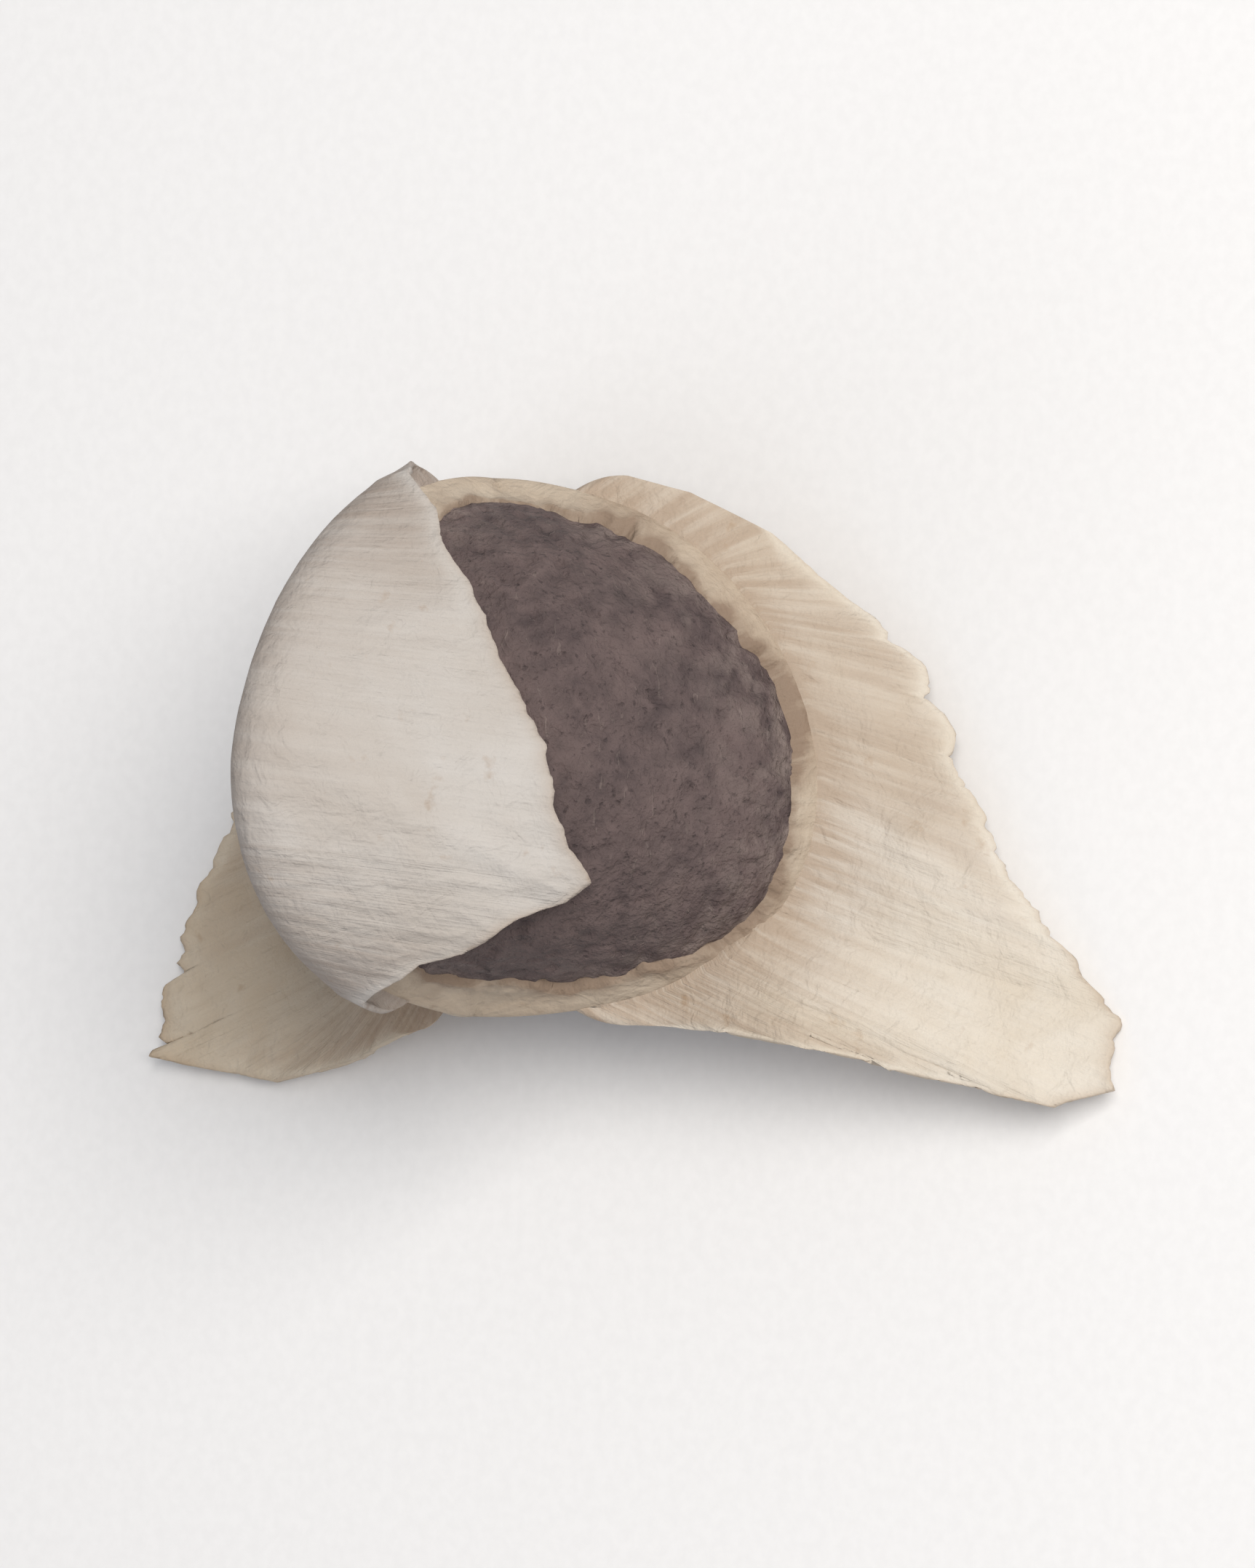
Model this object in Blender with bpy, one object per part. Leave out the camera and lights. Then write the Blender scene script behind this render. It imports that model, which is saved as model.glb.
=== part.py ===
"""A winged moringa seed at rest on a surface.

A dark, roundish hull with three keels sits inside a pale, papery coat. The coat has one wing on each keel,
and the wings meet at both poles. The seed lies on a small flat of its hull and on the outer parts of two
wings, and the third wing curls over its front face.

The axis from pole to pole runs along X, with the top pole, where the wings are narrow, towards +X. The front
of the seed looks along -Y. Lengths are in metres and angles in radians, unless a name says otherwise.
"""

import math

import bmesh
import bpy
from mathutils import Matrix, Vector

MM = 0.001

# Hull. A fullness of 1 gives a plain globe, and less gives blunter poles.
HULL_LENGTH = 10.0 * MM
FACE_RADIUS = 5.0 * MM
KEEL_RADIUS = 6.6 * MM
KEEL_SPREAD = math.radians(22.0)
EGG_SHAPE = 0.14
FULLNESS = 0.76
HULL_RINGS = 17
KEEL_FAN_DEGREES = (-48, -36, -25, -16, -8, 0, 8, 16, 25, 36, 48, 60)

# Pose at rest: where each keel points, measured from the front over the top, and how the axis lies
FRONT_KEEL = math.radians(-22.0)
UPPER_KEEL = math.radians(98.0)
REAR_KEEL = math.radians(218.0)
PITCH = math.radians(4.0)
AXIS_HEIGHT = 4.875 * MM

# Wings
COAT_GAP = 0.3 * MM
WING_THICKNESS = 0.62 * MM
ROOT_HEIGHT = 0.52 * MM
TORN_DEPTH = 0.2 * MM
LEAST_BEND = 0.45
RIPPLE_RISE = 1.5
STEPS_ALONG = 3
STEPS_ACROSS = 7
PATH_STEPS = 6

# Strip of coat over each keel: share of its half width, and thickness there in millimetres
MARGIN_HALF_WIDTH = 0.65 * MM
MARGIN_PROFILE = ((-1.0, 0.2), (-0.5, 0.4), (0.0, 0.5), (0.5, 0.4), (1.0, 0.2))
MARGIN_END = math.radians(79.0)
MARGIN_STEPS = 15

# Cap of coat over each pole
CAP_GAP = 0.42 * MM
CAP_THICKNESS = 0.6 * MM
CAP_END = math.radians(74.0)
CAP_RINGS = 4
CAP_SIDES = 18

# Block that trims the seed where it rests
BLOCK_HALF_WIDTH = 20 * MM
BLOCK_DEPTH = 5 * MM

# Each wing's outline runs from the top pole over the outer corner to the bottom pole. A point has the
# latitude of its root on the keel in degrees, and its distance from the axis and place along it in millimetres.
FRONT_OUTLINE = (
    (84, 1.3, 5.8), (74, 2.8, 5.7), (62, 4.1, 5.4), (47, 5.8, 4.6), (26, 9.2, 1.9), (6, 9.8, -0.2),
    (-12, 11.2, -2.5), (-33, 13.6, -5.3), (-43, 13.3, -6.8), (-49, 12.2, -7.2), (-55, 9.8, -6.7),
    (-61, 7.5, -6.2), (-68, 5.1, -5.8), (-76, 3.4, -5.7), (-84, 1.6, -5.8),
)
UPPER_OUTLINE = (
    (84, 1.3, 5.8), (74, 2.8, 5.7), (63, 4.6, 5.4), (50, 7.4, 4.6), (27, 11.5, 2.4), (4, 14.7, -0.3),
    (-26, 15.7, -3.0), (-42, 11.8, -4.3), (-54, 8.2, -5.1), (-66, 5.1, -5.6), (-76, 3.1, -5.7),
    (-84, 1.6, -5.8),
)
REAR_OUTLINE = (
    (84, 1.3, 5.8), (74, 2.8, 5.7), (62, 4.2, 5.4), (48, 6.0, 4.5), (26, 9.4, 1.7), (0, 10.9, -1.4),
    (-24, 12.4, -4.4), (-40, 12.7, -6.3), (-52, 9.5, -6.8), (-60, 7.0, -6.4), (-68, 5.0, -6.0),
    (-76, 3.4, -5.8), (-84, 1.6, -5.8),
)

# How each wing bends round the axis: by a first turn beside its root, over a bend of the given width, and by
# a second turn over its whole width. The rear wing's bend has no width of its own: it is as wide as brings
# the wing level at its clearance over the surface. Waves are counted along the free edge.
FRONT_WING = {
    "keel": FRONT_KEEL, "outline": FRONT_OUTLINE, "width": 7.2 * MM,
    "first_turn": math.radians(3.4), "bend_width": 2.0 * MM, "clearance": None,
    "second_turn": math.radians(-9.0), "ripple": 0.22 * MM, "waves": 2.5, "fold": math.radians(24.0),
}
UPPER_WING = {
    "keel": UPPER_KEEL, "outline": UPPER_OUTLINE, "width": 9.0 * MM,
    "first_turn": math.radians(-136.0), "bend_width": 2.3 * MM, "clearance": None,
    "second_turn": math.radians(-12.0), "ripple": 0.12 * MM, "waves": 1.6, "fold": 0.0,
}
REAR_WING = {
    "keel": REAR_KEEL, "outline": REAR_OUTLINE, "width": 6.8 * MM,
    "first_turn": math.radians(-38.0), "bend_width": None, "clearance": 0.22 * MM,
    "second_turn": math.radians(-8.0), "ripple": 0.15 * MM, "waves": 2.2, "fold": 0.0,
}

# The front wing is creased from near its root to its outer corner, and the paper below the crease is raised.
# The ends are given as distance from the axis and place along it.
CREASE_START = Vector((6.4, -3.3)) * MM
CREASE_END = Vector((13.6, -5.3)) * MM
CREASE_FADE = 3.6 * MM

KEELS = (FRONT_KEEL, UPPER_KEEL, REAR_KEEL)
WINGS = (FRONT_WING, UPPER_WING, REAR_WING)
HALF_LENGTH = HULL_LENGTH / 2


def clear_scene():
    for thing in list(bpy.data.objects):
        bpy.data.objects.remove(thing, do_unlink=True)


def place(along, out, angle):
    """A point from its place along the axis, its distance from the axis and its angle round it."""
    return Vector((along, -out * math.cos(angle), out * math.sin(angle)))


def smooth_step(value):
    value = min(max(value, 0.0), 1.0)
    return value * value * (3 - 2 * value)


def from_nearest_keel(angle):
    """Angle between a direction round the axis and the keel nearest to it."""
    third = 2 * math.pi / 3
    return (angle - FRONT_KEEL + third / 2) % third - third / 2


def hull_point(latitude, angle):
    """The hull's skin: a slightly egg-shaped globe with a low, rounded keel on each third of its girth."""
    keel = math.exp(-(from_nearest_keel(angle) / KEEL_SPREAD) ** 2)
    girth = FACE_RADIUS + (KEEL_RADIUS - FACE_RADIUS) * keel
    girth *= 1 - EGG_SHAPE * math.sin(latitude)
    return place(HALF_LENGTH * math.sin(latitude), girth * math.cos(latitude) ** FULLNESS, angle)


def hull_normal(latitude, angle):
    step = 0.002
    along = hull_point(latitude + step, angle) - hull_point(latitude - step, angle)
    around = hull_point(latitude, angle + step) - hull_point(latitude, angle - step)
    normal = along.cross(around).normalized()
    return normal if normal.dot(hull_point(latitude, angle)) > 0 else -normal


def over_hull(latitude, angle, height):
    """A point at a height over the hull's skin."""
    return hull_point(latitude, angle) + hull_normal(latitude, angle) * height


def object_from(name, points, faces):
    """A closed solid from its points and faces, with the faces turned outwards."""
    mesh = bpy.data.meshes.new(name)
    shape = bmesh.new()
    corners = [shape.verts.new(point) for point in points]
    for face in faces:
        shape.faces.new([corners[index] for index in face])
    bmesh.ops.recalc_face_normals(shape, faces=shape.faces[:])
    shape.to_mesh(mesh)
    shape.free()
    thing = bpy.data.objects.new(name, mesh)
    bpy.context.scene.collection.objects.link(thing)
    return thing


def ring_solid(name, rings):
    """A solid from closed rings of points, with a fan of triangles over its first and last ring."""
    sides = len(rings[0])
    points = [point for ring in rings for point in ring]
    faces = []
    for level in range(len(rings) - 1):
        low, high = level * sides, (level + 1) * sides
        for side in range(sides):
            after = (side + 1) % sides
            faces.append((low + side, low + after, high + after, high + side))
    for level in (0, len(rings) - 1):
        points.append(sum(rings[level], Vector()) / sides)
        for side in range(sides):
            after = (side + 1) % sides
            faces.append((len(points) - 1, level * sides + side, level * sides + after))
    return object_from(name, points, faces)


def make_hull():
    angles = [keel + math.radians(turn) for keel in KEELS for turn in KEEL_FAN_DEGREES]
    rings = []
    for level in range(1, HULL_RINGS + 1):
        latitude = math.pi * (level / (HULL_RINGS + 1) - 0.5)
        rings.append([hull_point(latitude, angle) for angle in angles])
    return ring_solid("seed_hull", rings)


def torn(number, out):
    """How far the torn free edge stands out at a ray, less where the wing is narrow."""
    wide = smooth_step((out - HALF_LENGTH) / HALF_LENGTH)
    return wide * TORN_DEPTH * (math.sin(2.4 * number) + math.sin(5.3 * number + out / MM)) / 2


def outline_rays(outline):
    """Root latitude, and distance from the axis and place along it at the edge, for each ray of a wing."""
    rays = []
    for first, second in zip(outline, outline[1:] + outline[-1:]):
        steps = 1 if first == second else STEPS_ALONG
        for step in range(steps):
            latitude, out, along = [a + (b - a) * step / steps for a, b in zip(first, second)]
            out *= MM
            rays.append((math.radians(latitude), out + torn(len(rays), out), along * MM))
    return rays


def below_crease(out, along):
    """How far a point of the flat front wing lies below its crease, which fades towards the bottom pole."""
    run = CREASE_END - CREASE_START
    offset = Vector((out, along)) - CREASE_START
    distance = max(0.0, (run.y * offset.x - run.x * offset.y) / run.length)
    return distance * smooth_step((out - CREASE_FADE) / CREASE_FADE)


def surface_height(along):
    """Height of the resting surface in the seed's own frame, before the seed is pitched."""
    return (along * math.sin(PITCH) - AXIS_HEIGHT) / math.cos(PITCH)


def bend_width(wing, root):
    """Width of the bend beside a wing's root. A wing that is pressed down comes level over the surface."""
    if wing["clearance"] is None:
        return wing["bend_width"] * max(root.yz.length / KEEL_RADIUS, LEAST_BEND)
    drop = root.z - surface_height(root.x) - wing["clearance"]
    return drop / (1 - math.cos(wing["first_turn"])) * abs(wing["first_turn"])


def wing_sheet(wing):
    """The middle surface of a wing: one row of points from root to free edge for each ray."""
    rows = []
    rays = outline_rays(wing["outline"])
    for number, (latitude, edge_out, edge_along) in enumerate(rays):
        root = over_hull(latitude, wing["keel"], ROOT_HEIGHT)
        root_out = root.yz.length
        bend = bend_width(wing, root)
        wave = math.sin(2 * math.pi * wing["waves"] * number / (len(rays) - 1))
        pace = (edge_out - root_out) / STEPS_ACROSS / PATH_STEPS
        front, height, travelled = -root.y, root.z, 0.0
        row = [root]
        for step in range(1, STEPS_ACROSS + 1):
            for _ in range(PATH_STEPS):
                travelled += abs(pace)
                angle = (wing["keel"] + wing["first_turn"] * smooth_step(travelled / bend)
                         + wing["second_turn"] * travelled / wing["width"])
                front += pace * math.cos(angle)
                height += pace * math.sin(angle)
            share = step / STEPS_ACROSS
            along = root.x + (edge_along - root.x) * share
            raised = wing["ripple"] * wave * share ** RIPPLE_RISE
            raised += math.tan(wing["fold"]) * below_crease(root_out + (edge_out - root_out) * share, along)
            row.append(Vector((along, -front + raised * math.sin(angle), height + raised * math.cos(angle))))
        rows.append(row)
    return rows


def sheet_normals(rows):
    """The normal at each point of a sheet, from the points beside it along and across."""
    normals = []
    last_row, last_step = len(rows) - 1, len(rows[0]) - 1
    for i, row in enumerate(rows):
        line = []
        for j in range(len(row)):
            along = rows[min(i + 1, last_row)][j] - rows[max(i - 1, 0)][j]
            across = row[min(j + 1, last_step)] - row[max(j - 1, 0)]
            line.append(along.cross(across).normalized())
        normals.append(line)
    return normals


def thick_sheet(name, rows, thickness):
    """A closed blade round a middle surface, split into triangles alike on both faces."""
    normals = sheet_normals(rows)
    count, width = len(rows), len(rows[0])
    points = []
    for side in (1, -1):
        for row, line in zip(rows, normals):
            points += [point + normal * side * thickness / 2 for point, normal in zip(row, line)]
    other = count * width
    faces = []
    for i in range(count - 1):
        for j in range(width - 1):
            a, d = i * width + j, i * width + j + 1
            b, c = a + width, d + width
            faces += [(a, b, c), (a, c, d)]
            faces += [(other + a, other + c, other + b), (other + a, other + d, other + c)]
    last = (count - 1) * width
    rim = [(i * width + j, (i + 1) * width + j) for i in range(count - 1) for j in (0, width - 1)]
    rim += [(start + j, start + j + 1) for j in range(width - 1) for start in (0, last)]
    faces += [(a, b, other + b, other + a) for a, b in rim]
    return object_from(name, points, faces)


def make_margin(keel):
    """The strip of coat that lies over the crest of a keel, thin at its two long edges."""
    rings = []
    for level in range(MARGIN_STEPS + 1):
        latitude = MARGIN_END * (2 * level / MARGIN_STEPS - 1)
        spread = MARGIN_HALF_WIDTH / hull_point(latitude, keel).yz.length
        inner = [over_hull(latitude, keel + spread * part, COAT_GAP) for part, _ in MARGIN_PROFILE]
        outer = [over_hull(latitude, keel + spread * part, COAT_GAP + height * MM)
                 for part, height in MARGIN_PROFILE]
        rings.append(inner + outer[::-1])
    return ring_solid("margin", rings)


def make_cap(pole):
    """The cap of coat over a pole, where the three margins and wings meet."""
    angles = [2 * math.pi * side / CAP_SIDES for side in range(CAP_SIDES)]
    inner, outer = [], []
    for level in range(CAP_RINGS):
        latitude = pole * (CAP_END + (math.pi / 2 - CAP_END) * level / CAP_RINGS)
        inner.append([over_hull(latitude, angle, CAP_GAP) for angle in angles])
        outer.append([over_hull(latitude, angle, CAP_GAP + CAP_THICKNESS) for angle in angles])
    return ring_solid("cap", inner[::-1] + outer)


def keep_result(thing):
    """Keeps a solid as its modifiers leave it."""
    graph = bpy.context.evaluated_depsgraph_get()
    mesh = bpy.data.meshes.new_from_object(thing.evaluated_get(graph))
    thing.modifiers.clear()
    thing.data = mesh


def fuse(thing, others):
    """One solid from several that cross each other."""
    group = bpy.data.collections.new("coat_pieces")
    bpy.context.scene.collection.children.link(group)
    for other in others:
        bpy.context.scene.collection.objects.unlink(other)
        group.objects.link(other)
    union = thing.modifiers.new("fuse", "BOOLEAN")
    union.operation = "UNION"
    union.solver = "EXACT"
    union.operand_type = "COLLECTION"
    union.collection = group
    keep_result(thing)
    for other in others:
        bpy.data.objects.remove(other, do_unlink=True)
    bpy.data.collections.remove(group)


def make_coat():
    wings = [thick_sheet("wing", wing_sheet(wing), WING_THICKNESS) for wing in WINGS]
    margins = [make_margin(keel) for keel in KEELS]
    top_cap, bottom_cap = make_cap(1), make_cap(-1)
    fuse(top_cap, wings + margins + [bottom_cap])
    top_cap.name = "papery_wings"
    return top_cap


def trim_below_surface(thing):
    """Cuts off what reaches below the surface, which leaves the small flats that the seed rests on."""
    sides = (-BLOCK_HALF_WIDTH, BLOCK_HALF_WIDTH)
    points = [(x, y, z) for z in (-BLOCK_DEPTH, 0.0) for y in sides for x in sides]
    faces = [(0, 1, 3, 2), (4, 5, 7, 6), (0, 1, 5, 4), (2, 3, 7, 6), (0, 2, 6, 4), (1, 3, 7, 5)]
    block = object_from("surface_block", points, faces)
    cut = thing.modifiers.new("trim", "BOOLEAN")
    cut.operation = "DIFFERENCE"
    cut.solver = "EXACT"
    cut.object = block
    keep_result(thing)
    bpy.data.objects.remove(block, do_unlink=True)


def set_down(hull, coat):
    """Pitches the seed, sets it on the surface, with the middle of its box over the origin, and trims it."""
    tilt = Matrix.Rotation(PITCH, 4, "Y")
    for thing in (hull, coat):
        thing.data.transform(tilt)
    corners = [vertex.co for thing in (hull, coat) for vertex in thing.data.vertices]
    middle_x = (min(c.x for c in corners) + max(c.x for c in corners)) / 2
    middle_y = (min(c.y for c in corners) + max(c.y for c in corners)) / 2
    shift = Matrix.Translation((-middle_x, -middle_y, AXIS_HEIGHT))
    for thing in (hull, coat):
        thing.data.transform(shift)
        trim_below_surface(thing)


def finish_with(thing, name, colour, roughness):
    material = bpy.data.materials.new(name)
    material.use_nodes = True
    shader = material.node_tree.nodes["Principled BSDF"]
    shader.inputs["Base Color"].default_value = (*colour, 1.0)
    shader.inputs["Roughness"].default_value = roughness
    shader.inputs["Metallic"].default_value = 0.0
    thing.data.materials.clear()
    thing.data.materials.append(material)
    thing.data.shade_smooth()
    thing.data.set_sharp_from_angle(angle=math.radians(35))


def make_seed():
    clear_scene()
    hull = make_hull()
    coat = make_coat()
    set_down(hull, coat)
    finish_with(hull, "dry_seed_hull", (0.085, 0.056, 0.045), 0.75)
    finish_with(coat, "dry_seed_paper", (0.69, 0.62, 0.52), 0.7)


make_seed()
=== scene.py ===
# %% [markdown]
# A winged moringa seed
# This lesson dresses one dried moringa seed: a dark, roundish hull inside a pale papery coat that grows out
# into three wings. The construction is already made as plain solids. Here each solid gets a finer skin
# that keeps its form, and a material that is worked out by nodes. The seed is only 24 mm wide, so every
# size below is written in millimetres and turned into metres by one factor.

# %% Load the construction model
import math
import random

import bmesh
import bpy
import numpy as np
from mathutils import Matrix, Vector, noise


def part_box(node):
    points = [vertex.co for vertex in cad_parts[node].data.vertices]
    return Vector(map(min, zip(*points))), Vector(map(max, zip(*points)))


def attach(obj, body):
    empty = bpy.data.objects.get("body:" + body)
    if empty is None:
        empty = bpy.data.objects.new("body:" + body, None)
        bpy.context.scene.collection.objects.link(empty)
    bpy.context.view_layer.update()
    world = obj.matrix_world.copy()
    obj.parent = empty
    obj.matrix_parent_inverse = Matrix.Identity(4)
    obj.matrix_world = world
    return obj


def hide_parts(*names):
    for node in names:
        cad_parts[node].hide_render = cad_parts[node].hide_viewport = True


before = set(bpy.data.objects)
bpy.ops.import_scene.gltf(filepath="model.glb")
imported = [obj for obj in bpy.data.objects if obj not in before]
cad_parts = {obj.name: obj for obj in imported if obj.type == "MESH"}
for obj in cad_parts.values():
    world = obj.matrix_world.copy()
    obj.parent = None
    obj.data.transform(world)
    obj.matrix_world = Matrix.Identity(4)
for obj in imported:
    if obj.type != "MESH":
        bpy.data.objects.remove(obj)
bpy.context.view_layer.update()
MM = 0.001

# %% [markdown]
# The seed's own axes
# A seed is easiest to describe round the axis that joins its two poles. A point then has a place along the
# axis, a distance from it, and an angle round it, measured from the front of the seed over its top. We could
# model everything by hand in world space, but then no formula would fit. NumPy works on whole arrays of
# points at once, which keeps a mesh of a hundred thousand points quick to make.

# %% Points round the axis
HULL_LENGTH = 10.0 * MM
HALF_LENGTH = HULL_LENGTH / 2
FRONT_KEEL = math.radians(-22.0)
UPPER_KEEL = math.radians(98.0)
REAR_KEEL = math.radians(218.0)
THIRD = 2 * math.pi / 3


def place(along, out, angle):
    """Points from their place along the axis, their distance from it and their angle round it."""
    along, out, angle = np.broadcast_arrays(along, out, angle)
    return np.stack([along, -out * np.cos(angle), out * np.sin(angle)], axis=-1)


def smooth_step(value):
    value = np.clip(value, 0.0, 1.0)
    return value * value * (3 - 2 * value)


def from_nearest_keel(angle):
    """Angle between a direction round the axis and the keel nearest to it."""
    return (angle - FRONT_KEEL + THIRD / 2) % THIRD - THIRD / 2


def from_axis(points):
    return np.hypot(points[..., 1], points[..., 2])


print("a keel every", round(math.degrees(THIRD)), "degrees")

# %% [markdown]
# The hull's form
# The hull is a slightly egg-shaped globe with three low keels. A sculpted ball could look like it, but a
# formula gives the same form at any fineness, and the wings need to know exactly where the keels run. The
# keel is a bell curve over the angle, added to the radius of the faces. The fullness is a power on the
# cosine of the latitude: 1 gives a plain globe, and less gives the blunter poles that the seed has.

# %% The hull as a formula
FACE_RADIUS = 5.0 * MM
KEEL_RADIUS = 6.6 * MM
KEEL_SPREAD = math.radians(22.0)
EGG_SHAPE = 0.14
FULLNESS = 0.76
NORMAL_STEP = 0.002
NEAREST_POLE = math.pi / 2 - 2 * NORMAL_STEP


def hull_point(latitude, angle):
    keel = np.exp(-((from_nearest_keel(angle) / KEEL_SPREAD) ** 2))
    girth = FACE_RADIUS + (KEEL_RADIUS - FACE_RADIUS) * keel
    girth = girth * (1 - EGG_SHAPE * np.sin(latitude))
    out = girth * np.abs(np.cos(latitude)) ** FULLNESS
    return place(HALF_LENGTH * np.sin(latitude), out, angle)


def over_hull(latitude, angle, height):
    """Points at a height over the hull's skin, along its normal."""
    near = np.clip(latitude, -NEAREST_POLE, NEAREST_POLE)
    along = hull_point(near + NORMAL_STEP, angle) - hull_point(near - NORMAL_STEP, angle)
    around = hull_point(near, angle + NORMAL_STEP) - hull_point(near, angle - NORMAL_STEP)
    normal = np.cross(around, along)
    normal /= np.linalg.norm(normal, axis=-1, keepdims=True)
    normal *= np.sign(np.sum(normal * hull_point(near, angle), axis=-1, keepdims=True))
    return hull_point(latitude, angle) + normal * np.expand_dims(height, -1)


print("hull, mm:", HULL_LENGTH / MM, "long and", 2 * FACE_RADIUS / MM, "across its faces")

# %% [markdown]
# From the seed's axes to the world
# The seed lies on its side with its narrow pole a little lower. The turn and the height are known, and the
# place on the floor is found by laying the formula's hull over the hull of the construction model and
# comparing the middles of their boxes. That way nothing has to be fitted by eye.

# %% Lay the seed down
PITCH = math.radians(4.0)
AXIS_HEIGHT = 4.875 * MM
MODEL_POLE = math.radians(80.0)
RINGS, SPOKES = 60, 240


def pitched(points):
    x, y, z = np.moveaxis(points, -1, 0)
    return np.stack([x * math.cos(PITCH) + z * math.sin(PITCH), y,
                     z * math.cos(PITCH) - x * math.sin(PITCH)], axis=-1)


def box_middle(points):
    points = points.reshape(-1, 3)
    return (points.min(axis=0) + points.max(axis=0)) / 2


rings = np.linspace(-MODEL_POLE, MODEL_POLE, RINGS)[:, None]
spokes = np.linspace(0, 2 * math.pi, SPOKES)[None, :]
shift = np.mean([list(corner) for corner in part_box("seed_hull")], axis=0)
shift -= box_middle(pitched(hull_point(rings, spokes)))
shift[2] = AXIS_HEIGHT


def to_world(points):
    return pitched(points) + shift


print("the middle of the seed's axis is at, mm:", np.round(shift / MM, 3))

# %% [markdown]
# A mesh from arrays
# Every skin here starts as a grid: rows and columns of points with a face between each four. The whole grid
# goes to Blender in one call, which is much faster than adding vertices one at a time. Points that fall
# together, at a pole or where a ring closes, are then merged. Three numbers are stored on each vertex, so
# that a material can make its fibres and stains follow the piece.

# %% Arrays to an object
MARK = "grain"
MERGE = 0.0001 * MM


def object_from(name, points, faces, marks):
    """A smooth, closed object from world points, faces, and three numbers on each point."""
    mesh = bpy.data.meshes.new(name)
    mesh.from_pydata(points.reshape(-1, 3).tolist(), [], faces.tolist())
    mark = mesh.attributes.new(MARK, "FLOAT_VECTOR", "POINT")
    mark.data.foreach_set("vector", np.asarray(marks, dtype=np.float32).ravel())
    shape = bmesh.new()
    shape.from_mesh(mesh)
    loose = [corner for corner in shape.verts if not corner.link_faces]
    bmesh.ops.delete(shape, geom=loose, context="VERTS")
    bmesh.ops.remove_doubles(shape, verts=shape.verts[:], dist=MERGE)
    bmesh.ops.recalc_face_normals(shape, faces=shape.faces[:])
    shape.to_mesh(mesh)
    shape.free()
    mesh.shade_smooth()
    thing = bpy.data.objects.new(name, mesh)
    bpy.context.scene.collection.objects.link(thing)
    print(name, "has", len(mesh.polygons), "faces")
    return thing


def grid_faces(index):
    """The faces between neighbouring points, from a grid of point numbers."""
    corners = [index[:-1, :-1], index[1:, :-1], index[1:, 1:], index[:-1, 1:]]
    return np.stack(corners, axis=-1).reshape(-1, 4)


def stacked(first, second, third):
    """Three numbers for each point, from three arrays that may need spreading over the grid."""
    return np.stack(np.broadcast_arrays(first, second, third), axis=-1)


# %% [markdown]
# Natural unevenness
# Nothing on a seed is even, so each height and each edge gets a little noise. Blender's own noise functions
# give soft random lumps that are the same on every run. The size of the lumps is given in millimetres, so
# it can be read off the real thing, and the seed number moves to another part of the same endless field.

# %% Lumps and ridges of a given size
FIELD_STEP = 17.3
OCTAVE_FADE, OCTAVE_GAP = 0.7, 2.0


def lumps(points, size, seed, octaves=1):
    """Soft random values of about -1 to 1 at each point, for lumps of a given size."""
    cells = points.reshape(-1, 3) / size + seed * FIELD_STEP
    values = [noise.fractal(cell, OCTAVE_FADE, OCTAVE_GAP, octaves) for cell in cells.tolist()]
    return np.array(values).reshape(points.shape[:-1])


def ridges(points, size, seed):
    """Thin ridges between soft hollows: 1 on a ridge and less beside it."""
    return 1 - 2 * np.abs(lumps(points, size, seed))


sample = lumps(place(np.linspace(0, HULL_LENGTH, 200), FACE_RADIUS, 0.0), 1.0 * MM, seed=1)
print("a run of lumps reaches from", round(sample.min(), 2), "to", round(sample.max(), 2))

# %% [markdown]
# The hull's skin
# A dried hull is matt and a little shrivelled. It has broad, shallow dents, a fine net of wrinkles where the
# skin shrank, and small pits. We could leave all of it to a bump map, but a bump never changes the outline
# or the edge of a shadow. So what is wider than about 0.3 mm is real relief, and the material adds the finer
# grain. Where the seed rests, the skin is pressed flat.

# %% Raise the hull's skin
HULL_GRID = (270, 320)
DENT, DENT_DEPTH = 3.4 * MM, 0.13 * MM
WRINKLE, WRINKLE_HEIGHT = 1.1 * MM, 0.07 * MM
NET, NET_HEIGHT = 0.42 * MM, 0.03 * MM
PIT, PIT_DEPTH = 0.34 * MM, 0.06 * MM
PIT_STEEPNESS, PIT_START = 2.2, 0.3
FUZZ_WIDTH = 0.9 * MM


def globe_grid(grid):
    """Latitudes down a grid and angles across it, from pole to pole and once round."""
    latitudes = np.linspace(-math.pi / 2, math.pi / 2, grid[0])[:, None]
    angles = np.linspace(0, 2 * math.pi, grid[1] + 1)[None, :]
    return latitudes, angles


def make_hull_skin():
    latitudes, angles = globe_grid(HULL_GRID)
    bare = hull_point(latitudes, angles)
    height = DENT_DEPTH * lumps(bare, DENT, seed=1)
    height += WRINKLE_HEIGHT * ridges(bare, WRINKLE, seed=2) + NET_HEIGHT * ridges(bare, NET, seed=4)
    height -= PIT_DEPTH * smooth_step(PIT_STEEPNESS * lumps(bare, PIT, seed=3) - PIT_START)
    skin = to_world(over_hull(latitudes, angles, height))
    skin[..., 2] = np.maximum(skin[..., 2], 0.0)
    reach = np.abs(from_nearest_keel(angles)) * from_axis(bare)
    marks = stacked(bare[..., 0] / MM, reach / MM, np.exp(-reach / FUZZ_WIDTH))
    faces = grid_faces(np.arange(bare[..., 0].size).reshape(bare.shape[:2]))
    return object_from("hull_skin", skin, faces, marks)


hull_skin = make_hull_skin()

# %% [markdown]
# The coat's base
# Along each keel, and round both poles, the papery coat clings to the hull as a thin skin with a ragged,
# feathered edge. It rises to a soft crest where a wing grows out. It could be cut out of paper strips, but
# strips would show their ends. Here it is one height over the hull's own formula. Where there is no coat
# the height dips below the hull's skin, so the edge that we see is where two surfaces cross, and its
# raggedness is only noise in the width. The crest itself is never torn. Cells that lie wholly below the
# skin are left out.

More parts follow.
